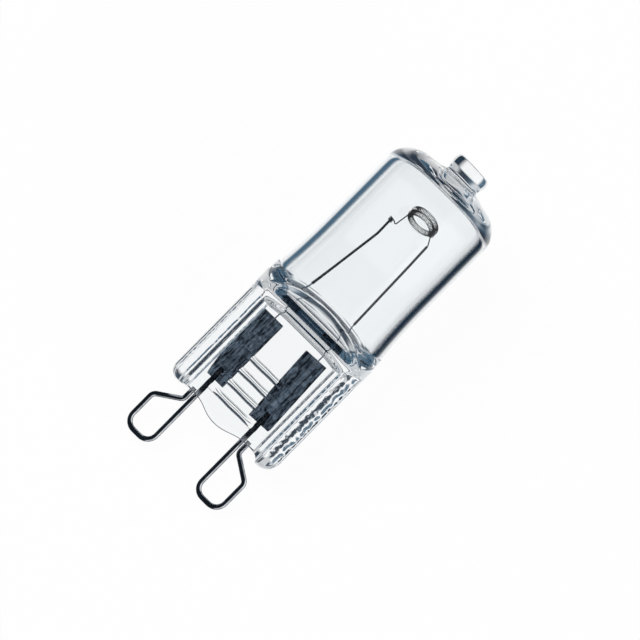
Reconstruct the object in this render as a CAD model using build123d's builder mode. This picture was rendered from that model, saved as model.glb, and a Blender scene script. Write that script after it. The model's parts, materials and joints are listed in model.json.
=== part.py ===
from build123d import *
import os
from math import asin, atan2, cos, degrees, hypot, radians, sin, tan

# Mains halogen capsule bulb with two looped wire pins, lying as it comes to rest.
# Each piece is modelled with the lamp upright: X runs from pin to pin, Y from the front of the
# pinch to its back, and Z from the feet of the pinch (0) up to the sealed tip.
# The whole lamp is then laid on the shoulder of its bulb and the feet of its two ribs.
# All sizes are in millimetres and degrees.

# Bulb: a drawn quartz tube that flares a little towards the pinch
bulb_radius = 6.45
bulb_wall = 0.95
flare_radius = 6.85
flare_top = 20.5
dome_top = 31.7
dome_round = 3.0
dome_glass = 1.8
crown_angle = 11.0
tube_foot_round = 1.5

# Tip: the short stub of the exhaust tube, melted shut, a little to one side of the dome's middle
tip_length = 1.8
tip_shift = 0.27
tip_neck_radius = 1.8
tip_rim_radius = 2.06
tip_rim_bevel = 0.3

# Cavity: the gas space, round in the tube, pressed with it at the shoulder and blunt over the pinch
cavity_round = 1.4
cavity_foot_rise = 0.8
cavity_foot_depth = 2.4
cavity_foot_round = 0.8
cavity_foot_bevel = 1.1
cavity_shoulder_rise = 2.75
cavity_shoulder_round = 1.2

# Pinch: the foot of the tube, pressed flat between two jaws
pinch_height = 12.1
pinch_width = 13.6
pinch_thickness = 5.6
pinch_edge_round = 1.2
rib_foot_width = 2.0
rib_foot_round = 1.0
web_thickness = 3.3
web_foot = 0.3
window_width = 9.1
window_margin = 0.65
window_corner = 0.8
window_draft = 25.0
tongue_width = 5.0
tongue_drop = 0.8

# Shoulder: the slope that the jaws leave between the pinch and the tube
shoulder_depth = 6.57
shoulder_rise = 2.3
shoulder_round = 1.6
shoulder_hollow = 1.0

# Cross ridges that the jaws leave on both faces of the web
ridge_count = 4
ridge_first = 1.85
ridge_pitch = 1.5
ridge_width = 0.46
ridge_height = 0.15
ridge_length = 3.0

# Seal: the metal sits a little to one side of the glass, with the foils just behind the wires
seal_shift = -0.27
foil_width = 2.6
foil_length = 8.1
foil_thickness = 0.05
foil_foot = 2.42
foil_face = 0.2
left_foil_lean = 0.0
right_foil_lean = 2.8
left_foil_nick = (0.45, 2.1)
right_foil_nick = (0.12, 0.4)

# Pins: one wire each, looped outwards and back to the glass, with flat sides to keep the model light
pin_spacing = 9.0
pin_wire = 0.54
pin_sides = 12
pin_loop_width = 3.0
pin_length = 6.15
pin_corner = 1.1
pin_waist = 2.45
pin_waist_round = 0.7
pin_neck = 0.85
pin_neck_round = 0.5
pin_end_gap = 0.06
pin_end_depth = 0.35
pin_weld = 1.4

# Leads: thin wires from the foils to the feet of the filament's legs
lead_wire = 0.14
lead_weld = 0.9
lead_offset = 2.85
leg_socket = 0.5

# Filament: a small coil on two long legs, tied to them by thin links. The coil leans back, and its
# wire is itself wound from finer wire, so all of it is taken as rods with flat sides
leg_wire = 0.3
leg_bend = 3.0
left_leg = ((-2.9, 15.15), (-1.87, 22.8), (-1.9, 24.45))
right_leg = ((2.56, 15.15), (2.37, 22.8), (2.28, 25.15))
link_wire = 0.14
link_reach = 0.4
link_bend = 0.12
coil_offset = 0.44
coil_radius = 1.37
coil_wire = 0.42
coil_sides = 6
coil_pitch = 0.56
coil_turns = 1.5
coil_foot = 26.1
coil_lean = 22.0

os.makedirs("parts", exist_ok=True)

pinch_half = pinch_thickness / 2
web_half = web_thickness / 2
window_height = pinch_height - window_margin
cavity_foot = pinch_height + cavity_foot_rise
cavity_shoulder = pinch_height + cavity_shoulder_rise
flare_foot = pinch_height + tube_foot_round
shoulder_top = pinch_height + shoulder_rise
foil_top = foil_foot + foil_length
tip_top = dome_top + tip_length
front_of_web = Plane.XZ.offset(web_half)
back_of_web = Plane(origin=(0, web_half, 0), x_dir=(-1, 0, 0), z_dir=(0, 1, 0))
foil_plane = Plane.XZ.offset(-foil_face - foil_thickness / 2)


def pin_leg(side):
    """Where the straight leg of a pin stands: side is -1 on the left and 1 on the right."""
    return seal_shift + side * (pin_spacing - pin_loop_width) / 2


def foil(side, lean, nick):
    """A strip of foil with its lower outer corner nicked, turned about the middle of its foot."""
    half = foil_width / 2
    nick_width, nick_height = nick
    with BuildPart() as strip:
        with BuildSketch(foil_plane):
            with Locations((pin_leg(side), foil_foot)):
                Polygon(
                    (side * (half - nick_width), 0),
                    (side * half, nick_height),
                    (side * half, foil_length),
                    (-side * half, foil_length),
                    (-side * half, 0),
                    rotation=lean,
                    align=None,
                )
        extrude(amount=foil_thickness / 2, both=True)
    return strip.part


def pin(side):
    """A looped pin: a shaft on its foil, down the leg, round the loop and back to the glass."""
    leg = pin_leg(side)
    outer = leg + side * pin_loop_width
    end = leg + side * (pin_wire + pin_end_gap)
    with BuildPart() as loop:
        with BuildLine() as route:
            FilletPolyline(
                (leg, 0, foil_foot + pin_weld),
                (leg, 0, -pin_length),
                (outer, 0, -pin_length),
                (outer, 0, -pin_waist),
                (end, 0, -pin_neck),
                (end, 0, web_foot + pin_end_depth),
                radius=(pin_corner, pin_corner, pin_waist_round, pin_neck_round),
            )
        with BuildSketch(Plane(origin=route.line @ 0, z_dir=route.line % 0)):
            RegularPolygon(pin_wire / 2, pin_sides)
        sweep(path=route.line)
        # The flat where the shaft is welded on the foil
        with Locations((leg, foil_face, foil_foot)):
            Box(
                2 * pin_wire,
                pin_wire,
                2 * pin_weld,
                align=(Align.CENTER, Align.MIN, Align.MIN),
                mode=Mode.SUBTRACT,
            )
    return loop.part


def lead(side, leg):
    """A thin lead, from its weld on the foil into the socket in the foot of a filament leg."""
    weld = Vector(seal_shift + side * lead_offset, foil_face - lead_wire / 4, foil_top - lead_weld)
    foot_x, foot_z = leg[0]
    run = Vector(foot_x, 0, foot_z) - weld
    with BuildPart() as wire:
        with BuildSketch(Plane(origin=weld, z_dir=run)):
            Circle(lead_wire / 2)
        extrude(amount=run.length + leg_socket)
        # The flat where the lead is welded on the foil
        with Locations((weld.X, foil_face, foil_top)):
            Box(
                foil_width,
                lead_wire,
                2 * lead_weld,
                align=(Align.CENTER, Align.MIN, Align.MAX),
                mode=Mode.SUBTRACT,
            )
    return wire.part


def jaws(half_gap, radii):
    """Two jaws: a block cut through by the gap between them, whose back half is given foot first."""
    front_half = [(-y, z) for y, z in reversed(half_gap)]
    foot = half_gap[0][1]
    top = half_gap[-1][1]
    with BuildPart() as block:
        with BuildSketch(Plane.YZ):
            with Locations((0, foot)):
                Rectangle(2 * pinch_width, top - foot, align=(Align.CENTER, Align.MIN))
            with BuildLine():
                FilletPolyline(half_gap + front_half, radius=radii + radii[::-1], close=True)
            make_face(mode=Mode.SUBTRACT)
        extrude(amount=pinch_width, both=True)
    return block.part


left_foil = foil(-1, left_foil_lean, left_foil_nick)
right_foil = foil(1, right_foil_lean, right_foil_nick)
left_pin = pin(-1)
right_pin = pin(1)
left_lead = lead(-1, left_leg)
right_lead = lead(1, right_leg)

# Coil: made upright on its own plane, wound from its right end past the front to its left end
coil_plane = Plane(
    origin=(coil_offset, 0, coil_foot),
    x_dir=(1, 0, 0),
    z_dir=(0, sin(radians(coil_lean)), cos(radians(coil_lean))),
)
with BuildPart() as coil:
    with BuildLine() as turns:
        Helix(coil_pitch, coil_turns * coil_pitch, coil_radius, lefthand=True)
    with BuildSketch(Plane(origin=turns.line @ 0, z_dir=turns.line % 0)):
        RegularPolygon(coil_wire / 2, coil_sides)
    sweep(path=turns.line, is_frenet=True)

# Filament: the coil, the legs and the links are all one wire
coil_right = coil_plane.from_local_coords(turns.line @ 0)
coil_left = coil_plane.from_local_coords(turns.line @ 1)
left_head_x, left_head_z = left_leg[-1]
right_head_x, right_head_z = right_leg[-1]
left_link = (
    (left_head_x, 0, left_head_z - link_wire),
    (coil_left.X - link_reach, 0, left_head_z - link_wire),
    (coil_left.X - link_reach, coil_left.Y, coil_left.Z),
    (coil_left.X, coil_left.Y, coil_left.Z),
)
right_link = (
    (right_head_x, 0, right_head_z - link_wire),
    (right_head_x, 0, right_head_z + link_wire),
    (coil_right.X, coil_right.Y, coil_right.Z),
)
with BuildPart() as filament:
    add(coil.part.moved(coil_plane.location))
    for leg in (left_leg, right_leg):
        with BuildLine() as leg_route:
            FilletPolyline([(x, 0, z) for x, z in leg], radius=leg_bend)
        with BuildSketch(Plane(origin=leg_route.line @ 0, z_dir=leg_route.line % 0)):
            RegularPolygon(leg_wire / 2, coil_sides)
        sweep(path=leg_route.line)
    for link in (left_link, right_link):
        with BuildLine() as link_route:
            FilletPolyline(link, radius=link_bend)
        with BuildSketch(Plane(origin=link_route.line @ 0, z_dir=link_route.line % 0)):
            RegularPolygon(link_wire / 2, coil_sides)
        sweep(path=link_route.line)
    for wire in (left_lead, right_lead):
        add(wire, mode=Mode.SUBTRACT)

# Cavity: the tube's bore, flared with it, closed by a flat roof and pressed by the jaws
cavity_radius = bulb_radius - bulb_wall
cavity_flare = flare_radius - bulb_wall
cavity_depth = shoulder_depth - bulb_wall
cavity_top = dome_top - dome_glass
cavity_jaws = jaws(
    [(cavity_foot_depth, cavity_foot), (cavity_depth, cavity_shoulder), (cavity_depth, cavity_top)],
    [cavity_foot_round, cavity_shoulder_round, 0],
)
with BuildPart() as cavity:
    with BuildSketch(Plane.XZ):
        with BuildLine():
            wall = Line((cavity_radius, cavity_top - cavity_round), (cavity_radius, flare_top))
            corner = JernArc(wall @ 0, tangent=(0, 1), radius=cavity_round, arc_size=90)
            Polyline(
                wall @ 1,
                (cavity_flare, flare_foot),
                (cavity_flare - cavity_foot_bevel, cavity_foot),
                (0, cavity_foot),
                (0, cavity_top),
                corner @ 1,
            )
        make_face()
    revolve(axis=Axis.Z)
    add(cavity_jaws, mode=Mode.SUBTRACT)

# Jaws of the press: they flatten the foot of the tube and slope its shoulder
press_jaws = jaws(
    [
        (pinch_half, pinch_height - shoulder_hollow),
        (pinch_half, pinch_height),
        (shoulder_depth, shoulder_top),
        (shoulder_depth, tip_top),
    ],
    [0, shoulder_hollow, shoulder_round, 0],
)

# Pinch: a flat block with rounded ribs at its edges and a sunken window on each face
rib_inside = pinch_width / 2 - rib_foot_width
with BuildPart() as pinch:
    with BuildSketch():
        RectangleRounded(pinch_width, pinch_thickness, pinch_edge_round)
    extrude(amount=flare_foot)
    fillet(pinch.faces().sort_by(Axis.Z)[0].edges(), radius=rib_foot_round)
    # The foot of the web, a step up between the ribs
    with BuildSketch(Plane.XZ):
        Polygon(
            (-rib_inside, 0),
            (rib_inside, 0),
            (rib_inside - web_foot, web_foot),
            (web_foot - rib_inside, web_foot),
            align=None,
        )
    extrude(amount=pinch_half, both=True, mode=Mode.SUBTRACT)
    for face in (front_of_web, back_of_web):
        with BuildSketch(face) as window:
            with Locations((0, window_height)):
                Rectangle(window_width, 2 * window_height, align=(Align.CENTER, Align.MAX))
            fillet(window.vertices().group_by(Axis.Y)[-1], radius=window_corner)
        extrude(amount=pinch_half, taper=-window_draft, mode=Mode.SUBTRACT)
    # The rounded tongue of clear glass between the pins
    with BuildSketch(Plane.XZ):
        with BuildLine():
            tongue_left = (seal_shift - tongue_width / 2, web_foot)
            tongue_right = (seal_shift + tongue_width / 2, web_foot)
            ThreePointArc(tongue_left, (seal_shift, web_foot - tongue_drop), tongue_right)
            Line(tongue_left, tongue_right)
        make_face()
    extrude(amount=web_half, both=True)
    # The cross ridges between the foils, each a round bar sunk in the face of the web
    ridge_radius = (ridge_width**2 / 4 + ridge_height**2) / (2 * ridge_height)
    ridge_centre = web_half + ridge_height - ridge_radius
    with BuildSketch(Plane.YZ.offset(seal_shift)):
        for ridge in range(ridge_count):
            level = ridge_first + ridge * ridge_pitch
            with Locations((-ridge_centre, level), (ridge_centre, level)):
                Circle(ridge_radius)
    extrude(amount=ridge_length / 2, both=True)

# Tip: a stub that widens to its bevelled end
with BuildPart() as tip:
    with Locations((tip_shift, 0, dome_top - dome_glass / 2)):
        Cylinder(tip_neck_radius, dome_glass / 2, align=(Align.CENTER, Align.CENTER, Align.MIN))
    with Locations((tip_shift, 0, dome_top)):
        Cone(tip_neck_radius, tip_rim_radius, tip_length, align=(Align.CENTER, Align.CENTER, Align.MIN))
    chamfer(tip.edges().sort_by(Axis.Z)[-1], length=tip_rim_bevel)

# Envelope: the tube with its dome, pressed by the jaws, joined to the tip and the pinch and hollowed
crown_start = bulb_radius - dome_round * (1 - sin(radians(crown_angle)))
crown_rise = (crown_start - tip_neck_radius) * tan(radians(crown_angle))
dome_foot = dome_top - crown_rise - dome_round * cos(radians(crown_angle))
with BuildPart() as envelope:
    with BuildSketch(Plane.XZ):
        with BuildLine():
            wall = Line((bulb_radius, flare_top), (bulb_radius, dome_foot))
            corner = JernArc(wall @ 1, tangent=(0, 1), radius=dome_round, arc_size=90 - crown_angle)
            Polyline(
                corner @ 1,
                (tip_neck_radius, dome_top),
                (0, dome_top),
                (0, pinch_height),
                (flare_radius, pinch_height),
                (flare_radius, flare_foot),
                wall @ 0,
            )
        make_face()
    revolve(axis=Axis.Z)
    add(press_jaws, mode=Mode.SUBTRACT)
    add(tip.part)
    add(pinch.part)
    add(cavity.part, mode=Mode.SUBTRACT)
    # The glass closes on every piece that is sealed in it
    for sealed in (left_foil, right_foil, left_pin, right_pin, left_lead, right_lead):
        add(sealed, mode=Mode.SUBTRACT)

# Rest: the lamp lies on the round of its shoulder and the rounded feet of its ribs, so it tilts
# by the slope of the line that touches both rounds from below
shoulder_turn = atan2(shoulder_depth - pinch_half, shoulder_rise)
round_rise = shoulder_top + shoulder_round * tan(shoulder_turn / 2) - rib_foot_round
round_drop = (shoulder_depth - shoulder_round) - (pinch_half - rib_foot_round)
rise_turn = asin((shoulder_round - rib_foot_round) / hypot(round_drop, round_rise))
tilt = atan2(round_drop, round_rise) + rise_turn
foot_drop = (pinch_half - rib_foot_round) * cos(tilt) - rib_foot_round * sin(tilt) + rib_foot_round
upright_box = Compound([envelope.part, left_pin, right_pin]).moved(
    Plane(origin=(0, 0, 0), x_dir=(0, -1, 0), z_dir=(cos(tilt), 0, sin(tilt))).location
).bounding_box()
resting = Plane(
    origin=(-upright_box.center().X, -upright_box.center().Y, foot_drop),
    x_dir=(0, -1, 0),
    z_dir=(cos(tilt), 0, sin(tilt)),
)
print(f"tilt {degrees(tilt):.2f} degrees, lowest {upright_box.min.Z + foot_drop:.4f} mm")

pieces = {
    "envelope": envelope.part,
    "left_foil": left_foil,
    "right_foil": right_foil,
    "left_pin": left_pin,
    "right_pin": right_pin,
    "left_lead": left_lead,
    "right_lead": right_lead,
    "filament": filament.part,
}
for name, piece in pieces.items():
    laid = piece.moved(resting.location)
    laid.label = name
    export_step(laid, f"parts/{name}.step")
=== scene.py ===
"""A mains halogen capsule bulb on a white table, seen square to its front.

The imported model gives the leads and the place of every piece. The glass, the foils, the pins and the
filament are modelled here upright and in millimetres, and then laid where the model lies.
"""

import json
import logging
import math
from collections.abc import Iterator
from contextlib import contextmanager
from dataclasses import dataclass, field
from enum import Enum
from typing import Any

import bpy
from bpy.types import ID, Material, NodeOutputs, NodeSocket, NodeTree, Object
from mathutils import Matrix, Vector, noise


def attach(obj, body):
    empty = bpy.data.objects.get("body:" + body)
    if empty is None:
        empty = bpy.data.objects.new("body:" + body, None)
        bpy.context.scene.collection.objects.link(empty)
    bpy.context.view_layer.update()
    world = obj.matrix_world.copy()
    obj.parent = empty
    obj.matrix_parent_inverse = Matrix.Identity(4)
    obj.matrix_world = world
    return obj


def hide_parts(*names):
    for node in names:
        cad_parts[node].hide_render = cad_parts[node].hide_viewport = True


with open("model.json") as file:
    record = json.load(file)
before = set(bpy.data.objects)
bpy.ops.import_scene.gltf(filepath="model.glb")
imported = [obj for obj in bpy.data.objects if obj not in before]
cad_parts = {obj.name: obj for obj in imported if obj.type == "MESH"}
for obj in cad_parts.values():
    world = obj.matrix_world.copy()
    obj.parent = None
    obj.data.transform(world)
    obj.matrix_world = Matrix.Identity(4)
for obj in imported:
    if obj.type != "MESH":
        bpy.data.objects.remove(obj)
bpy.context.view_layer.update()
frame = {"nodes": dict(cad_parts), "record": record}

MM = 0.001
BODY = "root"
WHITE = "#ffffff"
PLACE_DIGITS = 4
WIRE_EDGE = math.radians(50)
LOG = logging.getLogger("halogen_bulb")

Outline = list[tuple[float, float]]
Profile = tuple[tuple[float, float], ...]
Ring = list[Vector]
Span = tuple[float, float]


class Side(Enum):
    """The two sides of the lamp, seen from the front with the pins down."""

    LEFT = -1
    RIGHT = 1

    @classmethod
    def of(cls, x: float) -> "Side":
        """The side on which a place across the lamp lies."""
        return cls.RIGHT if x > 0 else cls.LEFT

    @property
    def word(self) -> str:
        """The side's name as the model's nodes spell it."""
        return self.name.lower()


def linear(hex_colour: str) -> tuple[float, float, float, float]:
    """Turn an sRGB hex colour into a linear one.

    Args:
        hex_colour: Six hex digits after a hash sign.

    Returns:
        Linear red, green and blue, and an alpha of 1.
    """
    parts = [int(hex_colour[i : i + 2], 16) / 255 for i in (1, 3, 5)]
    red, green, blue = [c / 12.92 if c <= 0.04045 else ((c + 0.055) / 1.055) ** 2.4 for c in parts]
    return red, green, blue, 1.0


@dataclass(frozen=True)
class Nodes:
    """A node tree, with short ways to add what the finishes and the room are made of."""

    tree: NodeTree

    @classmethod
    def of(cls, owner: ID) -> "Nodes":
        """Switch on the nodes of a material or a world, and clear them.

        Args:
            owner: The material or the world.

        Returns:
            Its empty tree.
        """
        owner.use_nodes = True
        owner.node_tree.nodes.clear()
        return cls(owner.node_tree)

    def add(self, kind: str, sockets: dict[str | int, Any] | None = None, **settings: Any) -> NodeOutputs:
        """Add a node with its settings and links.

        Args:
            kind: The node's type name, without the words that all shader nodes share.
            sockets: What goes into each input, a value or the output socket of another node.
            settings: The node's own properties.

        Returns:
            The new node's outputs.
        """
        node = self.tree.nodes.new(f"ShaderNode{kind}")
        for name, value in settings.items():
            setattr(node, name, value)
        for name, value in (sockets or {}).items():
            if isinstance(value, NodeSocket):
                self.tree.links.new(value, node.inputs[name])
            else:
                node.inputs[name].default_value = value
        return node.outputs

    def reckon(self, operation: str, *values: Any) -> NodeSocket:
        """Reckon with numbers or sockets."""
        return self.add("Math", dict(enumerate(values)), operation=operation)[0]

    def spread(self, value: Any, source: Span, target: Span = (0, 1), curve: str = "LINEAR") -> NodeSocket:
        """Map a value from one range to another, and hold it there."""
        ends = dict(zip(("From Min", "From Max", "To Min", "To Max"), source + target, strict=True))
        return self.add("MapRange", {"Value": value, **ends}, interpolation_type=curve)["Result"]

    def ramp(self, value: Any, ends: Span) -> NodeSocket:
        """Go smoothly from 0 at the first end to 1 at the second, which may lie below it."""
        return self.spread(value, ends, curve="SMOOTHSTEP")

    def tint(self, share: Any, first: Any, second: Any) -> NodeSocket:
        """Mix two colours, each a hex colour or a socket, by the share of the second."""
        # A mix node keeps its colours at inputs 6 and 7 and at output 2
        pair = [linear(colour) if isinstance(colour, str) else colour for colour in (first, second)]
        return self.add("Mix", {0: share, 6: pair[0], 7: pair[1]}, data_type="RGBA")[2]

    def blend(self, share: Any, first: Any, second: Any) -> NodeSocket:
        """Mix two shaders by the share of the second."""
        return self.add("MixShader", {0: share, 1: first, 2: second})[0]

    def glow(self, kind: str, colour: Any) -> NodeSocket:
        """A shader with light of its own, of strength 1, in a hex colour or a socket's colour."""
        shown = linear(colour) if isinstance(colour, str) else colour
        return self.add(kind, {"Color": shown, "Strength": 1.0})[0]


def between(start: float, end: float, share: float) -> float:
    """The value a share of the way from start to end."""
    return start + (end - start) * share


def ease(low: float, high: float, value: float) -> float:
    """A share that goes smoothly from 0 at low to 1 at high, which may lie below low."""
    share = min(1.0, max(0.0, (value - low) / (high - low)))
    return share * share * (3 - 2 * share)


def choose(*pieces: Object) -> None:
    """Select these pieces alone, the first as the active one.

    Args:
        pieces: The objects to select.
    """
    bpy.ops.object.select_all(action="DESELECT")
    for piece in pieces:
        piece.select_set(True)
    bpy.context.view_layer.objects.active = pieces[0]


@contextmanager
def editing(piece: Object) -> Iterator[None]:
    """Select a piece alone and hold it in edit mode.

    Args:
        piece: The mesh object to edit.
    """
    choose(piece)
    bpy.ops.object.mode_set(mode="EDIT")
    bpy.ops.mesh.select_mode(type="VERT")
    try:
        yield
    finally:
        bpy.ops.object.mode_set(mode="OBJECT")


def pick(piece: Object, points: Ring) -> None:
    """Select the vertices of a piece that lie on given points, and nothing else of it.

    Args:
        piece: The mesh object, in object mode.
        points: The places of the wanted vertices.
    """
    mesh = piece.data
    wanted = {tuple(round(c, PLACE_DIGITS) for c in point) for point in points}
    places = [tuple(round(c, PLACE_DIGITS) for c in vertex.co) for vertex in mesh.vertices]
    mesh.polygons.foreach_set("select", [False] * len(mesh.polygons))
    mesh.edges.foreach_set("select", [False] * len(mesh.edges))
    mesh.vertices.foreach_set("select", [place in wanted for place in places])


def apply_modifier(piece: Object, kind: str, **settings: Any) -> None:
    """Add a modifier to a piece and apply it.

    Args:
        piece: The mesh object.
        kind: The modifier's type name.
        settings: The modifier's properties.
    """
    choose(piece)
    bpy.ops.object.modifier_add(type=kind)
    modifier = piece.modifiers[-1]
    for name, value in settings.items():
        setattr(modifier, name, value)
    bpy.ops.object.modifier_apply(modifier=modifier.name)


def loft(name: str, rings: list[Ring]) -> Object:
    """Extrude a circle ring by ring, set each ring on its outline and close both ends.

    Args:
        name: The new object's name.
        rings: The rings from the foot up, all with as many points, counter-clockwise from +X.

    Returns:
        The closed loft.
    """
    foot = rings[0]
    count = len(foot)
    bpy.ops.mesh.primitive_circle_add(vertices=count, radius=1.0)
    piece = bpy.context.object
    piece.name = name
    with editing(piece):
        bpy.ops.mesh.select_all(action="SELECT")
        for _ in rings[1:]:
            bpy.ops.mesh.extrude_region_move(TRANSFORM_OT_translate={"value": (0, 0, 1)})
    for vertex in piece.data.vertices:
        turn = math.atan2(vertex.co.y, vertex.co.x) / math.tau
        vertex.co = rings[round(vertex.co.z)][round(turn * count) % count]
    # The front of the first ring is bridged to its back, and the last ring is drawn to a point
    pick(piece, foot[1 : count // 2] + foot[count // 2 + 1 :])
    with editing(piece):
        bpy.ops.mesh.bridge_edge_loops()
        bpy.ops.mesh.select_all(action="SELECT")
        bpy.ops.mesh.fill_holes(sides=4)
    pick(piece, rings[-1])
    with editing(piece):
        bpy.ops.mesh.extrude_region_move(TRANSFORM_OT_translate={"value": (0, 0, 0)})
        bpy.ops.mesh.merge(type="CENTER")
        bpy.ops.mesh.select_all(action="SELECT")
        bpy.ops.mesh.normals_make_consistent(inside=False)
    return piece


def whole_ring(right: Outline, left: Outline) -> Outline:
    """Join two quarter outlines, each from its side to the back, and mirror them to the front.

    Args:
        right: Points of the right quarter, as distances to the right and the back.
        left: Points of the left quarter, as distances to the left and the back.

    Returns:
        The ring's points, counter-clockwise from the right.
    """
    back = right + [(-x, y) for x, y in reversed(left[:-1])]
    return back + [(x, -y) for x, y in reversed(back[1:-1])]


def wire_mesh(
    name: str, route: Ring, radius: float, corners: int, swell: list[float] | None = None
) -> Object:
    """Draw a round wire along a route.

    Args:
        name: The new object's name.
        route: The points of the wire's middle line.
        radius: The wire's radius.
        corners: Steps in a quarter turn round the wire.
        swell: Each point's share of the radius, where it isn't the same all along.

    Returns:
        The wire as a closed mesh.
    """
    bpy.ops.curve.primitive_nurbs_path_add()
    piece = bpy.context.object
    piece.name = name
    curve = piece.data
    curve.splines.clear()
    spline = curve.splines.new("POLY")
    spline.points.add(len(route) - 1)
    for point, place, share in zip(spline.points, route, swell or [1.0] * len(route), strict=True):
        point.co = (*place, 1.0)
        point.radius = share
    curve.dimensions = "3D"
    curve.bevel_depth = radius
    curve.bevel_resolution = corners - 1
    curve.use_fill_caps = True
    bpy.ops.object.convert(target="MESH")
    bpy.ops.object.shade_smooth_by_angle(angle=WIRE_EDGE)
    return bpy.context.object


def rounded_route(corners: Ring, radii: tuple[float, ...], steps: int = 8) -> Ring:
    """Round the inner corners of a route with arcs.

    Args:
        corners: The route's corner points.
        radii: The radius of the arc at each inner corner.
        steps: Points along each arc.

    Returns:
        The route's points, with an arc at each inner corner.
    """
    route = [corners[0]]
    for before, corner, after, radius in zip(corners, corners[1:], corners[2:], radii, strict=False):
        back = (before - corner).normalized()
        ahead = (after - corner).normalized()
        half = back.angle(ahead) / 2
        middle = corner + (back + ahead).normalized() * radius / math.sin(half)
        first = corner + back * radius / math.tan(half) - middle
        last = corner + ahead * radius / math.tan(half) - middle
        turns = [first.slerp(last, step / steps).normalized() for step in range(steps + 1)]
        route += [middle + turn * radius for turn in turns]
    return [*route, corners[-1]]


@dataclass(frozen=True)
class RestPlace:
    """Where the upright lamp, in millimetres, lies in the model's frame."""

    base: Vector
    turn: Matrix

    @classmethod
    def of_mount(cls, mount: dict[str, Any], foot: Vector) -> "RestPlace":
        """Work the place out from the mount at the lamp's pins.

        Args:
            mount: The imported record's mount, whose axis points down the pins.
            foot: The mount's place on the upright lamp.

        Returns:
            The lamp's place.
        """
        up = -Vector(mount["axis"]).normalized()
        across = Vector((0, -1, 0))
        turn = Matrix((across, up.cross(across), up)).transposed()
        return cls(Vector(mount["pos_m"]) - turn @ foot * MM, turn)

    def lay(self, piece: Object, finish: Material) -> None:
        """Lay an upright piece down, put its place into its mesh and give it its finish.

        Args:
            piece: The piece.
            finish: Its material.
        """
        choose(piece)
        piece.matrix_world = Matrix.LocRotScale(self.base, self.turn, Vector((MM, MM, MM)))
        bpy.ops.object.transform_apply(location=True, rotation=True, scale=True)
        piece.data.materials.append(finish)

    def coordinates(self, nodes: Nodes) -> NodeSocket:
        """Add nodes that give the upright lamp's own millimetres on a laid piece.

        Args:
            nodes: A material's nodes.

        Returns:
            The socket with the coordinates.
        """
        sockets = {
            "Vector": nodes.add("TexCoord")["Object"],
            "Location": self.base,
            "Rotation": self.turn.to_euler(),
            "Scale": (MM, MM, MM),
        }
        return nodes.add("Mapping", sockets, vector_type="TEXTURE")["Vector"]


@dataclass(frozen=True)
class FusedQuartz:
    """Fused quartz, drawn as tube and fire polished: clear and colourless, with a cold tinge in its depth."""

    colour: str = "#fafcfd"
    ior: float = 1.458
    depth_colour: str = "#c3d6e6"
    density_per_mm: float = 0.003
    most_bounces: int = 3

    def material(self) -> Material:
        """Make the glass.

        Returns:
            The material.
        """
        material = bpy.data.materials.new("fused_quartz")
        nodes = Nodes.of(material)
        sockets = {
            "Base Color": linear(self.colour),
            "Roughness": 0.0,
            "IOR": self.ior,
            "Transmission Weight": 1.0,
        }
        glass = nodes.add("BsdfPrincipled", sockets)[0]
        # Light caught between the faces is let out straight, so that the thick dome doesn't go black
        bounces = nodes.add("LightPath")["Glossy Depth"]
        caught = nodes.reckon("GREATER_THAN", bounces, self.most_bounces - 0.5)
        surface = nodes.blend(caught, glass, nodes.add("BsdfTransparent")[0])
        depth = {"Color": linear(self.depth_colour), "Density": self.density_per_mm / MM}
        volume = nodes.add("VolumeAbsorption", depth)[0]
        nodes.add("OutputMaterial", {"Surface": surface, "Volume": volume})
        return material


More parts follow.
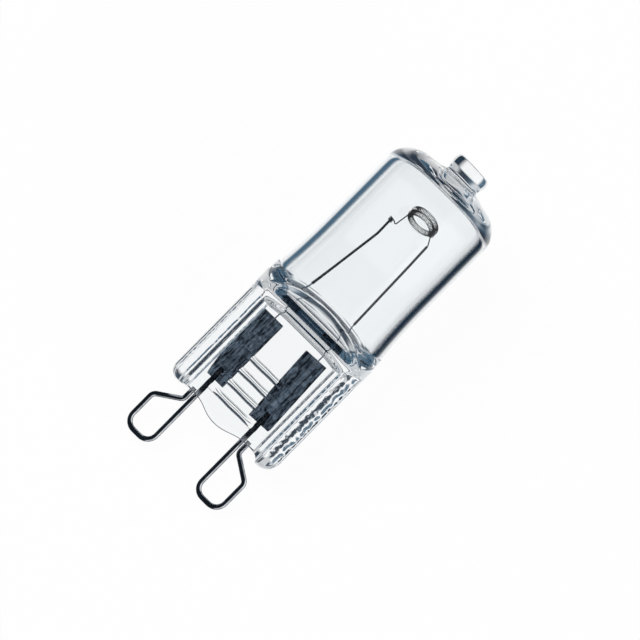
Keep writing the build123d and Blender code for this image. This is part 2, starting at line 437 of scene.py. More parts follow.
@dataclass(frozen=True)
class OxidisedFoil:
    """Molybdenum foil, rolled and darkened by the heat of sealing: near black, mottled steel blue."""

    dark: str = "#262c35"
    pale: str = "#b4c6d8"
    streak_mm: float = 0.25
    streak_length_mm: float = 1.1
    streak_detail: float = 5.0
    streak_roughness: float = 0.62
    streak_range: Span = (0.4, 0.78)
    fleck_mm: float = 0.12
    fleck_detail: float = 3.0
    fleck_range: Span = (0.52, 0.6)
    scuff: tuple[float, float, float] = (-2.6, 0.2, 3.4)
    scuff_reach: Span = (1.0, 0.4)
    # Where the band of painted sheen runs across the right foil, and half its width
    crease: Span = (2.62, 0.22)
    roughness: Span = (0.25, 0.5)
    bump_strength: float = 0.4
    bump_mm: float = 0.03

    def material(self, rest: RestPlace) -> Material:
        """Make the foil's finish.

        Args:
            rest: The lamp's place, for streaks along the foil.

        Returns:
            The material.
        """
        material = bpy.data.materials.new("oxidised_molybdenum_foil")
        nodes = Nodes.of(material)
        place = rest.coordinates(nodes)
        stretch = {"Vector": place, "Scale": (1.0, 1.0, self.streak_mm / self.streak_length_mm)}
        rolled = {
            "Vector": nodes.add("Mapping", stretch)[0],
            "Scale": 1 / self.streak_mm,
            "Detail": self.streak_detail,
            "Roughness": self.streak_roughness,
        }
        streaks = nodes.add("TexNoise", rolled)["Fac"]
        fine = {"Vector": place, "Scale": 1 / self.fleck_mm, "Detail": self.fleck_detail}
        flecks = nodes.add("TexNoise", fine)["Fac"]
        # Torn flecks beside the left weld, and a painted sheen in a band along the right foil, as a crease
        # would catch the light
        far = nodes.add("VectorMath", {0: place, 1: self.scuff}, operation="DISTANCE")["Value"]
        near = nodes.spread(far, self.scuff_reach)
        scuffed = nodes.reckon("MULTIPLY", near, nodes.spread(flecks, self.fleck_range))
        across = nodes.add("SeparateXYZ", {"Vector": place})["X"]
        # Painted sheen: the band along the right foil is made paler
        painted_sheen = nodes.reckon("MULTIPLY", nodes.reckon("COMPARE", across, *self.crease), flecks)
        share = nodes.spread(streaks, self.streak_range)
        for mark in (scuffed, painted_sheen):
            share = nodes.reckon("MAXIMUM", share, mark)
        bump = {"Height": streaks, "Strength": self.bump_strength, "Distance": self.bump_mm * MM}
        sockets = {
            "Base Color": nodes.tint(share, self.dark, self.pale),
            "Metallic": 1.0,
            "Roughness": nodes.spread(flecks, (0, 1), self.roughness),
            "Normal": nodes.add("Bump", bump)["Normal"],
        }
        foil = nodes.add("BsdfPrincipled", sockets)[0]
        nodes.add("OutputMaterial", {"Surface": foil})
        return material


@dataclass(frozen=True)
class DrawnWire:
    """Metal wire, drawn through a die: grey with patches of oxide, and where given, darkened by a painted
    shade from the foot of the glass up.
    """

    name: str
    bright: str
    oxide: str
    roughness: Span
    patch_mm: float = 0.8
    patch_detail: float = 4.0
    patch_range: Span = (0.4, 0.65)
    # A painted shade for the wire inside the glass, and the heights over which it sets in
    painted_shade: str | None = None
    painted_shade_level: Span = (0.2, 0.9)

    def material(self, rest: RestPlace) -> Material:
        """Make the wire's finish.

        Args:
            rest: The lamp's place, for the pattern's size.

        Returns:
            The material.
        """
        material = bpy.data.materials.new(self.name)
        nodes = Nodes.of(material)
        place = rest.coordinates(nodes)
        blotch = {"Vector": place, "Scale": 1 / self.patch_mm, "Detail": self.patch_detail}
        patches = nodes.add("TexNoise", blotch)["Fac"]
        colour = nodes.tint(nodes.spread(patches, self.patch_range), self.bright, self.oxide)
        if self.painted_shade:
            # Painted shade: the wire is darkened from the foot of the glass up
            level = nodes.add("SeparateXYZ", {"Vector": place})["Z"]
            colour = nodes.tint(nodes.spread(level, self.painted_shade_level), colour, self.painted_shade)
        sockets = {
            "Base Color": colour,
            "Metallic": 1.0,
            "Roughness": nodes.spread(patches, (0, 1), self.roughness),
        }
        wire = nodes.add("BsdfPrincipled", sockets)[0]
        nodes.add("OutputMaterial", {"Surface": wire})
        return material


WIRES = (
    # The pins get a painted shade where they run inside the glass
    DrawnWire("molybdenum_pin_wire", "#d3d6da", "#a9acb2", roughness=(0.1, 0.22), painted_shade="#33363b"),
    DrawnWire("molybdenum_lead_wire", "#b9bcc2", "#85888e", roughness=(0.2, 0.32)),
    DrawnWire("drawn_tungsten_wire", "#3a3a3e", "#17181b", roughness=(0.22, 0.34), patch_mm=0.3),
)


@dataclass(frozen=True)
class PressedRib:
    """What sets one rib of the pinch apart: its outline from the side to the face, and its foot."""

    outline: Profile
    window_edge: Span
    foot_round: float
    drop: float
    crinkle: float


RIBS = {
    Side.LEFT: PressedRib(
        outline=((6.8, 0), (6.76, 2.2), (6.3, 2.78), (5.78, 2.8), (5.6, 2.7), (5.42, 2.8)),
        window_edge=(5.18, 4.73),
        foot_round=1.0,
        drop=0.0,
        crinkle=0.025,
    ),
    Side.RIGHT: PressedRib(
        outline=((6.8, 0), (6.76, 1.4), (6.45, 2.03), (5.75, 2.42), (5.35, 2.65), (5.08, 2.8)),
        window_edge=(4.98, 4.53),
        foot_round=1.4,
        drop=0.45,
        crinkle=0.03,
    ),
}


@dataclass
class QuartzEnvelope:
    """The glass: a tube with a dome and a sealed tip, pressed flat at its foot, and hollow."""

    seal_shift: float = -0.27
    bulb_radius: float = 6.45
    bulb_wall: float = 0.95
    flare_radius: float = 6.85
    flare_top: float = 20.5
    flare_rise: float = 1.5
    tube_levels: tuple[float, ...] = (16.2, 17.4, 18.8, 20.2, 21.8, 23.4, 25.0, 26.6, 27.8)
    dome_top: float = 31.7
    dome_round: float = 3.0
    dome_steps: int = 7
    crown_angle: float = math.radians(11)
    tip_shift: float = 0.27
    tip_neck: float = 1.8
    tip_rim: float = 2.06
    tip_top: float = 33.5
    tip_slant: float = 0.05
    neck_profile: Profile = ((1.0, -0.22), (0.35, -0.08), (0.04, 0.05), (0.0, 0.25), (0.12, 0.7))
    rim_profile: Profile = (
        (0.0, -0.68), (-0.09, -0.32), (-0.26, -0.07), (-0.46, 0.0), (-0.9, -0.03), (-1.46, -0.05)
    )
    pinch_height: float = 12.1
    pinch_width: float = 13.6
    rib_half: float = 2.8
    rib_start: float = 0.1
    foot_turns: tuple[float, ...] = (0, 35, 65, 90)
    web_half: float = 1.65
    web_foot: float = 0.3
    web_foot_round: float = 0.18
    web_steps: tuple[float, ...] = (2.75, 1.65, 0.825, 0.0)
    web_rings: int = 11
    web_end: float = 0.5
    window_top: float = 11.6
    window_dip: float = 0.5
    dip_reach: Span = (1.4, 0.9)
    lip_rise: float = 0.2
    lip_fillet: float = 0.05
    lip_end: float = 0.35
    tongue_width: float = 5.0
    tongue_drop: float = 0.8
    shoulder_slope: float = 1.72
    shoulder_crest: float = 0.6
    shoulder_crease: float = math.radians(60)
    shoulder_rises: tuple[float, ...] = (
        0.0, 0.12, 0.3, 0.52, 0.8, 1.1, 1.4, 1.7, 1.95, 2.15, 2.35, 2.55, 2.85, 3.3
    )
    ridge_count: int = 4
    ridge_first: float = 1.85
    ridge_pitch: float = 1.5
    ridge_width: float = 0.46
    ridge_height: float = 0.25
    ridge_length: float = 3.3
    ridge_wave: float = 0.03
    ridge_wave_rate: Span = (2.3, 3.1)
    ridge_flanks: Profile = (
        (-2.2, 0), (-1.5, 0), (-1.25, 0), (-0.65, 1), (0.65, 1), (1.25, 0), (1.5, 0), (2.2, 0)
    )
    cavity_foot: float = 12.7
    cavity_crease: float = 0.5
    cavity_top: float = 29.9
    trough: tuple[tuple[float, float, float], ...] = (
        (0.0, 1.7, 0.4),
        (0.06, 1.4, 0.95),
        (0.24, 1.1, 1.85),
        (0.42, 0.88, 2.65),
        (0.58, 0.68, 3.35),
        (0.76, 0.48, 3.9),
        (1.04, 0.28, 4.5),
        (1.36, 0.12, 5.05),
        (1.68, 0.04, 5.6),
        (2.0, 0.0, 6.4),
        (2.6, 0.0, 6.4),
        (3.4, 0.0, 6.4),
    )
    roof_round: Span = (1.0, 0.55)
    corner_round: Span = (1.7, 1.5)
    corner_power: int = 4
    roof_steps: int = 6
    roof_profile: Profile = (
        (3.6, 0.0), (2.8, 0.0), (2.1, 0.0), (1.6, 0.02), (1.0, 0.1), (0.6, 0.35), (0.3, 0.5)
    )
    quarter_steps: int = 12
    crinkle_size: float = 0.4
    crinkle_edge: float = 0.25
    crinkle_foot: Span = (0.2, 0.8)
    crinkle_top: Span = (0.2, 0.9)
    outer_melt: tuple[float, float, float] = (0.2, 0.2, 1.9)
    inner_melt: tuple[float, float, float] = (0.7, 0.22, 1.7)
    melt_rise: float = 0.6
    melt_neck: Span = (-0.2, 0.9)
    melt_edge: Span = (4.8, 3.6)

    def tube_ring(self, level: float, radius: float, depth: float) -> Ring:
        """A ring round the outside, a circle pressed flat with sharp creases.

        Args:
            level: The ring's height.
            radius: The circle's radius.
            depth: Half the gap that it is pressed to.

        Returns:
            The ring's points.
        """
        half = self.quarter_steps // 2
        crease = min(math.asin(min(1.0, depth / radius)), self.shoulder_crease)
        turns = [crease * step / half for step in range(half)]
        quarter = [(radius * math.cos(turn), radius * math.sin(turn)) for turn in turns]
        for step in range(half + 1):
            x = radius * math.cos(crease) * (1 - step / half)
            quarter.append((x, min(math.sqrt(radius * radius - x * x), depth)))
        return [Vector((x, y, level)) for x, y in whole_ring(quarter, quarter)]

    def blown_ring(self, level: float, radius: float, depth: float) -> Ring:
        """A ring round the hollow, a circle pressed flat with soft creases.

        Args:
            level: The ring's height.
            radius: The circle's radius.
            depth: Half the gap that it is pressed to.

        Returns:
            The ring's points.
        """
        quarter = []
        for step in range(self.quarter_steps + 1):
            turn = math.pi / 2 * step / self.quarter_steps
            round_depth = radius * math.sin(turn)
            if depth < radius:
                apart = math.hypot(round_depth - depth, self.cavity_crease)
                round_depth = max(0.0, (round_depth + depth - apart) / 2)
            quarter.append((radius * math.cos(turn), round_depth))
        return [Vector((x, y, level)) for x, y in whole_ring(quarter, quarter)]

    def pinch_section(self, web_half: float) -> Outline:
        """The pinch's section: two ribs, the slopes of the windows and the web.

        Args:
            web_half: Half the thickness between the ribs.

        Returns:
            The ring's points.
        """
        quarters = {}
        for side, rib in RIBS.items():
            outer, inner = rib.window_edge
            slope = [(outer, self.rib_half), ((outer + inner) / 2, between(web_half, self.rib_half, 0.5))]
            web = [(x, web_half) for x in (inner, *self.web_steps)]
            quarters[side] = [*rib.outline, *slope, *web]
        return whole_ring(quarters[Side.RIGHT], quarters[Side.LEFT])

    def foot_ring(self, turn: float) -> Ring:
        """A ring on the rounded edge of the foot: each rib has its own, and a tongue hangs from the web.

        Args:
            turn: How far round the edge, from 0 below to a right angle at the side.

        Returns:
            The ring's points.
        """
        ring = []
        for x, y in self.pinch_section(self.web_half):
            rib = RIBS[Side.of(x)]
            outer, inner = rib.window_edge
            share = ease(inner - self.rib_start, outer, abs(x))
            reach = (x - self.seal_shift) / (self.tongue_width / 2)
            tongue = self.tongue_drop * max(0.0, 1 - reach * reach)
            foot = self.web_foot * (1 - share) - rib.drop * share - tongue
            radius = between(self.web_foot_round, rib.foot_round, share)
            inset = radius * (1 - math.sin(turn))
            outside = max(0.0, abs(x) - outer) / (self.pinch_width / 2 - outer)
            thin = 1 - inset / self.rib_half
            level = foot + radius * (1 - math.cos(turn))
            ring.append(Vector((x - math.copysign(inset * outside, x), y * thin, level)))
        return ring

    def web_ring(self, level: float, web_half: float, ridge: float = 0.0, wave: float = 0.0) -> Ring:
        """A ring round the pinch.

        Args:
            level: The ring's height.
            web_half: Half the thickness between the ribs.
            ridge: How far a cross ridge stands out of the web here.
            wave: How far the ridge wanders up and down.

        Returns:
            The ring's points.
        """
        ring = []
        dip_width, dip_height = self.dip_reach
        across, upward = self.ridge_wave_rate
        near_top = 1 - min(1.0, abs(level - self.window_top) / dip_height)
        for x, y in self.pinch_section(web_half):
            corner = RIBS[Side.of(x)].window_edge[1]
            moved = x + self.seal_shift * max(0.0, 1 - abs(x) / corner)
            raised = y + math.copysign(ridge, y) * (abs(x) <= self.ridge_length / 2)
            dip = self.window_dip * near_top * ease(corner - dip_width, corner, abs(x))
            sway = wave * math.sin(across * x + upward * level)
            ring.append(Vector((moved, raised, level - dip + sway)))
        return ring

    def pinch_rings(self) -> list[Ring]:
        """Draw the pinch, from its foot to the foot of the shoulder.

        Returns:
            The rings.
        """
        rings = [self.foot_ring(math.radians(angle)) for angle in self.foot_turns]
        flank = self.ridge_width / 2
        for count in range(self.ridge_count):
            middle = self.ridge_first + count * self.ridge_pitch
            for offset, share in self.ridge_flanks:
                level = middle + offset * flank
                rings.append(self.web_ring(level, self.web_half, share * self.ridge_height, self.ridge_wave))
        start = self.ridge_first + self.ridge_count * self.ridge_pitch - self.ridge_pitch / 2
        for step in range(self.web_rings):
            level = between(start, self.window_top - self.web_end, step / (self.web_rings - 1))
            rings.append(self.web_ring(level, self.web_half))
        lip = (
            (-self.lip_rise, self.web_half + self.lip_fillet),
            (0.0, between(self.web_half, self.rib_half, 0.5)),
            (self.lip_rise, self.rib_half),
            (self.lip_end, self.rib_half),
        )
        return rings + [self.web_ring(self.window_top + rise, half) for rise, half in lip]

    def tube_radius(self, level: float) -> float:
        """The tube's radius, which flares in an arc towards the pinch.

        Args:
            level: How high on the tube.

        Returns:
            The radius there.
        """
        reach = self.flare_top - self.pinch_height - self.flare_rise
        share = min(1.0, max(0.0, self.flare_top - level) / reach)
        return between(self.bulb_radius, self.flare_radius, share**2)

    def tube_rings(self) -> list[Ring]:
        """Draw the shoulder, the tube, the dome and the tip.

        Returns:
            The rings.
        """
        rings = []
        # The crest of the shoulder is worn round at the back, on which the lamp lies
        for rise in self.shoulder_rises:
            level = self.pinch_height + rise
            radius = self.tube_radius(level)
            depth = self.rib_half + self.shoulder_slope * rise
            worn = (depth + radius - math.hypot(depth - radius, self.shoulder_crest)) / 2
            ring = self.tube_ring(level, radius, depth)
            rings.append([Vector((p.x, min(p.y, worn), p.z)) for p in ring])
        for level in self.tube_levels:
            radius = self.tube_radius(level)
            rings.append(self.tube_ring(level, radius, radius))
        middle = self.bulb_radius - self.dome_round
        last = math.pi / 2 - self.crown_angle
        crown = (middle + self.dome_round * math.cos(last) - self.tip_neck) * math.tan(self.crown_angle)
        foot = self.dome_top - crown - self.dome_round * math.sin(last)
        for step in range(self.dome_steps + 1):
            turn = last * step / self.dome_steps
            radius = middle + self.dome_round * math.cos(turn)
            rings.append(self.tube_ring(foot + self.dome_round * math.sin(turn), radius, radius))
        stub = [(self.tip_neck + out, self.dome_top + rise) for out, rise in self.neck_profile]
        stub += [(self.tip_rim + out, self.tip_top + rise) for out, rise in self.rim_profile]
        for radius, level in stub:
            ring = self.tube_ring(level, radius, radius)
            lean = self.tip_slant * ease(self.dome_top, self.tip_top, level)
            rings.append([Vector((p.x + self.tip_shift, p.y, p.z - lean * p.x)) for p in ring])
        return rings

    def roof_ring(self, turn: float) -> Ring:
        """A ring on the edge of the hollow's roof, which is rounder at the sides than in front and behind.

        Args:
            turn: How far round the edge, from 0 at the wall to a right angle at the roof.

        Returns:
            The ring's points.
        """
        ring = []
        radius = self.bulb_radius - self.bulb_wall
        rounds = list(zip(self.roof_round, self.corner_round, strict=True))
        for point in self.blown_ring(self.cavity_top, radius, radius):
            side = (point.x / radius) ** self.corner_power
            across, down = [between(front, corner, side) for front, corner in rounds]
            reach = 1 - across * (1 - math.cos(turn)) / radius
            ring.append(Vector((point.x * reach, point.y * reach, point.z - down * (1 - math.sin(turn)))))
        return ring

    def cavity_rings(self) -> list[Ring]:
        """Draw the hollow, from the trough at its foot to its roof and up into the tip.

        Returns:
            The rings.
        """
        rings = []
        for rise, narrow, depth in self.trough:
            level = self.cavity_foot + rise
            radius = self.tube_radius(level) - self.bulb_wall - narrow
            rings.append(self.blown_ring(level, radius, depth))
        for level in self.tube_levels[1:]:
            radius = self.tube_radius(level) - self.bulb_wall
            rings.append(self.blown_ring(level, radius, radius))
        rings += [self.roof_ring(math.pi / 2 * step / self.roof_steps) for step in range(self.roof_steps + 1)]
        for radius, rise in self.roof_profile:
            rings.append(self.blown_ring(self.cavity_top + rise, radius, radius))
        return rings

    def shell(self, name: str, rings: list[Ring], melt: tuple[float, float, float]) -> Object:
        """Loft rings into a shell, with soft lumps on its top.

        Args:
            name: The shell's name.
            rings: The rings from the foot up.
            melt: How far below the roof the lumps begin, how high they are and how far apart.

        Returns:
            The shell, before it is smoothed.
        """
        piece = loft(name, rings)
        below, height, size = melt
        start = self.cavity_top - below
        inner, outer = [self.tip_neck + reach for reach in self.melt_neck]
        for vertex in piece.data.vertices:
            radius = vertex.co.xy.length
            share = ease(start, start + self.melt_rise, vertex.co.z) * ease(inner, outer, radius)
            lump = height * noise.noise(vertex.co / size)
            vertex.co.z += share * ease(*self.melt_edge, radius) * lump
        return piece

    def roughen(self, piece: Object) -> None:
        """Crinkle the outer edges of the ribs, where the press leaves the glass uneven.

        Args:
            piece: The glass, after it is smoothed.
        """
        top_end, top_start = [self.pinch_height - below for below in self.crinkle_top]
        for side, rib in RIBS.items():
            edge = rib.window_edge[0]
            for vertex in piece.data.vertices:
                place = vertex.co
                share = ease(edge, edge + self.crinkle_edge, place.x * side.value)
                share *= ease(*self.crinkle_foot, place.z) * ease(top_end, top_start, place.z)
                place.y += rib.crinkle * share * noise.noise(place / self.crinkle_size)

    def build(self, rest: RestPlace, glass: Material) -> Object:
        """Model the glass and lay it down.

        Args:
            rest: The lamp's place.
            glass: Its material.

        Returns:
            The piece.
        """
        piece = self.shell("quartz_envelope", self.pinch_rings() + self.tube_rings(), self.outer_melt)
        cavity = self.shell("quartz_cavity", self.cavity_rings(), self.inner_melt)
        with editing(cavity):
            bpy.ops.mesh.select_all(action="SELECT")
            bpy.ops.mesh.flip_normals()
        choose(piece, cavity)
        bpy.ops.object.join()
        apply_modifier(piece, "SUBSURF", levels=2, render_levels=2)
        self.roughen(piece)
        bpy.ops.object.shade_smooth()
        rest.lay(piece, glass)
        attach(piece, BODY)
        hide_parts("envelope")
        return piece


@dataclass
class SealFoil:
    """A strip of foil sealed in the pinch, a little crumpled, with its lower outer corner gone."""

    side: Side
    middle: float
    lean: float
    nick: Span
    width: float = 2.6
    length: float = 8.1
    thickness: float = 0.05
    foot: float = 2.42
    face: float = 0.2
    grid: tuple[int, int] = (26, 80)
    crumple: float = 0.035
    crumple_seed: int = 3
    smoothing: float = 0.5
    smoothings: int = 2
    sharp_edge: float = math.radians(40)

    def build(self, rest: RestPlace, finish: Material) -> Object:
        """Model the foil and lay it down.

        Args:
            rest: The lamp's place.
            finish: Its material.

        Returns:
            The piece.
        """
        across, along = self.grid
        bpy.ops.mesh.primitive_grid_add(x_subdivisions=across, y_subdivisions=along, size=1.0)
        piece = bpy.context.object
        piece.name = f"{self.side.word}_seal_foil"
        nick_width, nick_height = self.nick
        outward = self.side.value
        corner = Vector((outward * (self.width / 2 - nick_width), 0, 0))
        cut = Vector((outward * nick_width, nick_height, 0)).normalized()
        away = Vector((cut.y, -cut.x, 0)) * outward
        with editing(piece):
            bpy.ops.mesh.select_all(action="SELECT")
            bpy.ops.transform.resize(value=(self.width, self.length, 1))
            bpy.ops.transform.translate(value=(0, self.length / 2, 0))
            bpy.ops.mesh.bisect(plane_co=corner, plane_no=away, clear_outer=True)
            bpy.ops.mesh.select_all(action="SELECT")
            seed = outward + self.crumple_seed
            bpy.ops.transform.vertex_random(offset=self.crumple, normal=1.0, seed=seed)
            bpy.ops.mesh.vertices_smooth(factor=self.smoothing, repeat=self.smoothings)
        turn = Matrix.Rotation(math.pi / 2, 4, "X") @ Matrix.Rotation(self.lean, 4, "Z")
        back = self.face + self.thickness / 2
        piece.matrix_world = Matrix.Translation((self.middle, back, self.foot)) @ turn
        bpy.ops.object.transform_apply(location=True, rotation=True, scale=True)
        apply_modifier(piece, "SOLIDIFY", thickness=self.thickness, offset=0.0)
        bpy.ops.object.shade_smooth_by_angle(angle=self.sharp_edge)
        rest.lay(piece, finish)
        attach(piece, BODY)
        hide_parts(f"{self.side.word}_foil")
        return piece


@dataclass
class LoopedPin:
    """A pin: one round wire from its weld on the foil, down, round a wide loop and back to the glass."""

    side: Side
    seal_shift: float
    wire: float = 0.54
    wire_corners: int = 6
    spacing: float = 9.0
    loop_width: float = 3.0
    weld: float = 3.82
    length: float = 6.15
    waist: float = 2.45
    neck: float = 0.85
    end: float = 0.65
    end_gap: float = 0.06
    bends: tuple[float, ...] = (1.1, 1.1, 0.7, 0.5)

    @property
    def leg(self) -> float:
        """Where the pin's inner leg stands, and the foil that it is welded to."""
        return self.seal_shift + self.side.value * (self.spacing - self.loop_width) / 2

    def build(self, rest: RestPlace, finish: Material) -> Object:
        """Model the pin and lay it down.

        Args:
            rest: The lamp's place.
            finish: Its material.

        Returns:
            The piece.
        """
        outer = self.leg + self.side.value * self.loop_width
        back = self.leg + self.side.value * (self.wire + self.end_gap)
        corners = [
            Vector((self.leg, 0, self.weld)),
            Vector((self.leg, 0, -self.length)),
            Vector((outer, 0, -self.length)),
            Vector((outer, 0, -self.waist)),
            Vector((back, 0, -self.neck)),
            Vector((back, 0, self.end)),
        ]
        route = rounded_route(corners, self.bends)
        piece = wire_mesh(f"{self.side.word}_looped_pin", route, self.wire / 2, self.wire_corners)
        rest.lay(piece, finish)
        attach(piece, BODY)
        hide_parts(f"{self.side.word}_pin")
        return piece


@dataclass
class CoiledFilament:
    """The filament: a coil of wound wire on two long legs, tied to them by thin links."""

    leg_wire: float = 0.25
    leg_corners: int = 4
    left_leg: Profile = ((-2.9, 15.15), (-1.87, 22.8), (-1.9, 24.45))
    right_leg: Profile = ((2.56, 15.15), (2.37, 22.8), (2.28, 25.15))
    leg_bend: float = 3.0
    link_wire: float = 0.12
    link_corners: int = 3
    link_reach: float = 0.1
    link_bend: float = 0.1
    coil_offset: float = 0.44
    coil_radius: float = 1.37
    coil_pitch: float = 0.5
    coil_turns: float = 1.5
    coil_foot: float = 26.1
    coil_lean: float = math.radians(28)
    winding_radius: float = 0.26
    winding_pitch: float = 0.15
    winding_wire: float = 0.09
    winding_corners: int = 2
    winding_thin: float = 0.22
    winding_steps: int = 12
    knot_radius: float = 0.2
    knot_turns: float = 2.5
    knot_pitch: float = 0.16
    knot_steps: int = 10
    knot_drop: float = 0.05
    hook: Profile = ((0.34, 0.25), (0.62, 0.05), (0.74, 0.85))
    hook_bends: Span = (0.1, 0.3)
    hook_steps: int = 5

    def on_coil(self, turn: float, wind: float, reach: float) -> Vector:
        """A point on the leaning coil.

        Args:
            turn: How far round the coil, from its right end.
            wind: How far round the coil's own thickness.
            reach: How far from the middle of that thickness.

        Returns:
            The point on the upright lamp.
        """
        radius = self.coil_radius + reach * math.cos(wind)
        rise = self.coil_pitch * turn / math.tau + reach * math.sin(wind)
        upright = Vector((radius * math.cos(turn), -radius * math.sin(turn), rise))
        foot = Vector((self.coil_offset, 0, self.coil_foot))
        return Matrix.Rotation(-self.coil_lean, 3, "X") @ upright + foot

    def coil(self) -> Object:
        """Wind the fine wire, a helix round a helix, stronger above and below where its turns crowd.

        Returns:
            The coil.
        """
        whole = math.tau * self.coil_turns
        windings = round(whole * self.coil_radius / self.winding_pitch)
        count = windings * self.winding_steps
        route = []
        swell = []
        for share in (step / count for step in range(count + 1)):
            wind = math.tau * windings * share
            route.append(self.on_coil(whole * share, wind, self.winding_radius))
            swell.append(between(self.winding_thin, 1.0, math.sin(wind) ** 2))
        return wire_mesh("filament_coil", route, self.winding_wire / 2, self.winding_corners, swell)

    def knot_route(self, coil_left: Vector) -> Ring:
        """The left link: wound round the head of the leg, then in a hook up to the coil.

        Args:
            coil_left: The coil's left end.

        Returns:
            The link's points.
        """
        head_x, head_z = self.left_leg[-1]
        knot = []
        for step in range(round(self.knot_turns * self.knot_steps) + 1):
            turn = math.tau * step / self.knot_steps
            x = head_x + self.knot_radius * math.cos(turn)
            z = head_z - self.knot_drop + self.knot_pitch * turn / math.tau
            knot.append(Vector((x, -self.knot_radius * math.sin(turn), z)))
        hook = [Vector((head_x + x, 0, head_z + z)) for x, z in self.hook]
        return knot + rounded_route([*hook, coil_left], self.hook_bends, self.hook_steps)

    def build(self, rest: RestPlace, finish: Material) -> Object:
        """Model the filament and lay it down.

        Args:
            rest: The lamp's place.
            finish: Its material.

        Returns:
            The piece.
        """
        coil_right = self.on_coil(0, 0, 0)
        coil_left = self.on_coil(math.tau * self.coil_turns, 0, 0)
        parts = [self.coil()]
        for leg in (self.left_leg, self.right_leg):
            route = rounded_route([Vector((x, 0, z)) for x, z in leg], (self.leg_bend,))
            parts.append(wire_mesh("filament_leg", route, self.leg_wire / 2, self.leg_corners))
        x, z = self.right_leg[-1]
        head = [Vector((x, 0, z - self.link_reach)), Vector((x, 0, z + self.link_reach))]
        right_link = rounded_route([*head, coil_right], (self.link_bend,))
        for link in (self.knot_route(coil_left), right_link):
            parts.append(wire_mesh("filament_link", link, self.link_wire / 2, self.link_corners))
        choose(*parts)
        bpy.ops.object.join()
        piece = bpy.context.object
        piece.name = "coiled_filament"
        rest.lay(piece, finish)
        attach(piece, BODY)
        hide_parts("filament")
        return piece


@dataclass(frozen=True)
class SoftBox:
    """A soft light that faces the lamp, with its place and size in metres and its power in watts."""

    name: str
    place: tuple[float, float, float]
    size: Span
    power: float

    def hang(self) -> None:
        """Hang the light, so that the camera, metal and glass don't show it."""
        data = bpy.data.lights.new(self.name, "AREA")
        data.shape = "RECTANGLE"
        data.size, data.size_y = self.size
        data.energy = self.power
        light = bpy.data.objects.new(self.name, data)
        bpy.context.scene.collection.objects.link(light)
        light.location = self.place
        light.rotation_mode = "QUATERNION"
        light.rotation_quaternion = (-Vector(self.place)).to_track_quat("-Z", "Y")
        light.visible_camera = False
        light.visible_glossy = False
        light.visible_transmission = False


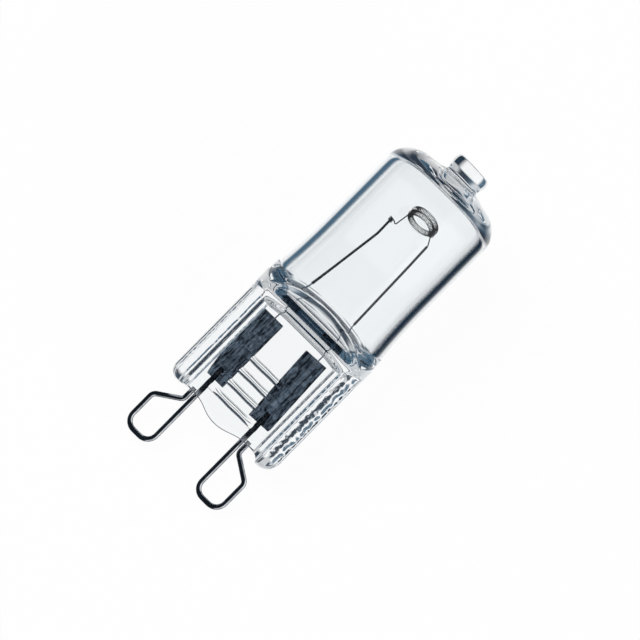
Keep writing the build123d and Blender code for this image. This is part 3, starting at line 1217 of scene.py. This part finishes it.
@dataclass
class Studio:
    """A white table under soft light, and a camera square to the front of the lamp."""

    rest: RestPlace
    field_mm: float = 59.53
    distance_mm: float = 600.0
    aim: Vector = field(default_factory=lambda: Vector((0.0, 0.0, 13.3)))
    slant: float = math.radians(44.7)
    sensor_mm: float = 36.0
    clip: Span = (0.01, 10.0)
    floor_size: float = 4.0
    floor_drop: float = 0.00002
    floor_colour: str = "#f2f2f2"
    shadow_share: float = 0.04
    least_depth: float = 0.01
    bright_left: Span = (-0.68, -0.44)
    bright_right: Span = (0.56, 0.24)
    bright_foot: Span = (-0.58, -0.42)
    bright_top: Span = (0.21, 0.07)
    sky_level: Span = (0.02, 0.6)
    sky_side: Span = (0.2, 0.5)
    sky_high: Span = (0.8, 1.1)
    rim_start: Span = (math.radians(50), math.radians(57))
    rim_end: Span = (math.radians(65), math.radians(60))
    rim_foot: Span = (-0.55, -0.3)
    rim_level: float = 0.85
    far_start: Span = (math.radians(48), math.radians(53))
    far_level: float = 0.8
    panel: Span = (0.45, 0.6)
    panel_back: Span = (0.4, 0.15)
    beyond: Span = (0.55, 0.8)
    front: Span = (-0.6, -0.8)
    fill: str = "#6f7a85"
    low: Span = (-0.2, -0.45)
    low_right: Span = (0.2, 0.45)
    left_side: Span = (0.05, -0.45)
    dark_left: str = "#4d6a7f"
    dark_right: str = "#192c3d"
    room: str = "#1c232b"
    softboxes: tuple[SoftBox, ...] = (
        SoftBox("left_softbox", (0.0, 0.32, 0.42), (0.35, 0.35), 2.4),
        SoftBox("right_strip", (0.0, -0.4, 0.14), (0.5, 0.05), 0.8),
    )

    def camera(self) -> None:
        """Hang the camera square to the front of the lamp, turned so that the lamp lies aslant."""
        data = bpy.data.cameras.new("camera")
        data.sensor_width = self.sensor_mm
        data.lens = self.sensor_mm * self.distance_mm / self.field_mm
        data.clip_start, data.clip_end = self.clip
        camera = bpy.data.objects.new("camera", data)
        bpy.context.scene.collection.objects.link(camera)
        upright = Matrix(((1, 0, 0), (0, 0, -1), (0, 1, 0)))
        turn = self.rest.turn @ upright @ Matrix.Rotation(self.slant, 3, "Z")
        aim = self.rest.base + self.rest.turn @ self.aim * MM
        camera.matrix_world = Matrix.LocRotScale(aim + turn.col[2] * self.distance_mm * MM, turn, None)
        bpy.context.scene.camera = camera

    def table_material(self) -> Material:
        """Make the matt white table, which glass shows the room through.

        Returns:
            The material, white to the eye but for a faint shadow.
        """
        material = bpy.data.materials.new("matt_white_table")
        nodes = Nodes.of(material)
        rays = nodes.add("LightPath")
        matt = nodes.add("BsdfDiffuse", {"Color": linear(self.floor_colour)})[0]
        table = nodes.blend(self.shadow_share, nodes.glow("Emission", WHITE), matt)
        solid = nodes.blend(rays["Is Camera Ray"], matt, table)
        bent = nodes.reckon("MAXIMUM", rays["Is Transmission Ray"], rays["Is Glossy Ray"])
        whole = nodes.blend(bent, solid, nodes.add("BsdfTransparent")[0])
        nodes.add("OutputMaterial", {"Surface": whole})
        return material

    def table(self) -> None:
        """Lay the table under the lamp."""
        bpy.ops.mesh.primitive_plane_add(size=self.floor_size, location=(0, 0, -self.floor_drop))
        table = bpy.context.object
        table.name = "white_table"
        table.data.materials.append(self.table_material())

    def brightness(self, nodes: Nodes, axes: list[NodeSocket], mirrored: NodeSocket) -> NodeSocket:
        """Work out how bright glass shows the room: a boxed middle, a rim round it and the sky above.

        Args:
            nodes: The world's nodes.
            axes: How far a ray goes to the lamp's right, ahead and up.
            mirrored: How often the ray was mirrored on its way.

        Returns:
            The socket with the share of white.
        """
        right, ahead, up = axes
        depth = nodes.reckon("MAXIMUM", ahead, self.least_depth)
        aside = nodes.reckon("DIVIDE", right, depth)
        above = nodes.reckon("DIVIDE", up, depth)
        middle = nodes.reckon("GREATER_THAN", ahead, 0.0)
        sides = [(aside, self.bright_left), (aside, self.bright_right)]
        for slope, edge in (*sides, (above, self.bright_foot), (above, self.bright_top)):
            middle = nodes.reckon("MULTIPLY", middle, nodes.ramp(slope, edge))
        rim_start, rim_end, far = [
            nodes.ramp(ahead, (math.cos(start), math.cos(end)))
            for start, end in (self.rim_start, self.rim_end, self.far_start)
        ]
        rim = nodes.reckon("MULTIPLY", rim_start, rim_end)
        rim = nodes.reckon("MULTIPLY", rim, nodes.ramp(up, self.rim_foot))
        beside = nodes.ramp(nodes.reckon("ABSOLUTE", aside), self.sky_side)
        clear = nodes.reckon("MAXIMUM", beside, nodes.ramp(above, self.sky_high))
        low, high = self.sky_level
        level = nodes.reckon("ADD", nodes.reckon("MULTIPLY", clear, high - low), low)
        sky = nodes.reckon("MULTIPLY", nodes.ramp(above, self.bright_top[::-1]), level)
        # The far room is pale, but faces that mirror within the glass show it dark
        unmirrored = nodes.reckon("LESS_THAN", mirrored, 0.5)
        far = nodes.reckon("MULTIPLY", unmirrored, far)
        bright = nodes.reckon("MAXIMUM", middle, sky)
        for part, share in ((rim, self.rim_level), (far, self.far_level)):
            bright = nodes.reckon("MAXIMUM", bright, nodes.reckon("MULTIPLY", part, share))
        return bright

    def surroundings(self) -> None:
        """Light the world: white to the camera, bright and steel blue in glass, and dim in metal."""
        world = bpy.data.worlds.new("studio")
        nodes = Nodes.of(world)
        rays = nodes.add("LightPath")
        way = nodes.add("TexCoord")["Generated"]
        axes = [
            nodes.add("VectorMath", {0: way, 1: axis}, operation="DOT_PRODUCT")["Value"]
            for axis in self.rest.turn.col
        ]
        right, ahead, up = axes
        bright = self.brightness(nodes, axes, rays["Glossy Depth"])
        low_right = nodes.reckon("MULTIPLY", nodes.ramp(right, self.low_right), nodes.ramp(up, self.low))
        shade = nodes.tint(nodes.ramp(right, self.left_side), self.dark_right, self.dark_left)
        shade = nodes.tint(low_right, shade, self.dark_left)
        shade = nodes.tint(nodes.ramp(ahead, self.front), shade, self.fill)
        through = nodes.glow("Background", nodes.tint(bright, shade, WHITE))
        panel = nodes.reckon("MULTIPLY", nodes.ramp(right, self.panel), nodes.ramp(ahead, self.panel_back))
        panel = nodes.reckon("MAXIMUM", panel, nodes.ramp(ahead, self.beyond))
        dim = nodes.glow("Background", nodes.tint(panel, self.room, WHITE))
        in_glass = nodes.reckon("GREATER_THAN", rays["Transmission Depth"], 0.5)
        light = nodes.blend(in_glass, dim, through)
        seen = nodes.blend(rays["Is Camera Ray"], light, nodes.glow("Background", WHITE))
        nodes.add("OutputWorld", {"Surface": seen})
        bpy.context.scene.world = world

    def build(self) -> None:
        """Set the whole stage."""
        self.camera()
        self.table()
        self.surroundings()
        for softbox in self.softboxes:
            softbox.hang()


def dress(node: str, finish: Material) -> Object:
    """Give a node of the model its finish.

    Args:
        node: The node's name.
        finish: The material.

    Returns:
        The node's object.
    """
    piece = frame["nodes"][node]
    piece.data.materials.clear()
    piece.data.materials.append(finish)
    return piece


def main() -> None:
    """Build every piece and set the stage."""
    logging.basicConfig(level=logging.INFO, format="%(name)s: %(message)s")
    bpy.context.scene.view_settings.view_transform = "Standard"
    envelope = QuartzEnvelope()
    foot = Vector((envelope.seal_shift, 0, envelope.web_foot))
    rest = RestPlace.of_mount(frame["record"]["mounts"][0], foot)
    pin_metal, lead_metal, tungsten = [wire.material(rest) for wire in WIRES]
    foil_metal = OxidisedFoil().material(rest)
    pins = {side: LoopedPin(side, envelope.seal_shift) for side in Side}
    foils = [
        SealFoil(Side.LEFT, pins[Side.LEFT].leg, lean=0.0, nick=(0.45, 2.1)),
        SealFoil(Side.RIGHT, pins[Side.RIGHT].leg, lean=math.radians(2.8), nick=(0.12, 0.4)),
    ]
    pieces = [envelope.build(rest, FusedQuartz().material())]
    pieces += [foil.build(rest, foil_metal) for foil in foils]
    pieces.append(CoiledFilament().build(rest, tungsten))
    for side, pin in pins.items():
        pieces.append(pin.build(rest, pin_metal))
        pieces.append(dress(f"{side.word}_lead", lead_metal))
    for piece in pieces:
        LOG.info("%s: %d faces", piece.name, len(piece.data.polygons))
    Studio(rest).build()


if __name__ == "__main__":
    main()
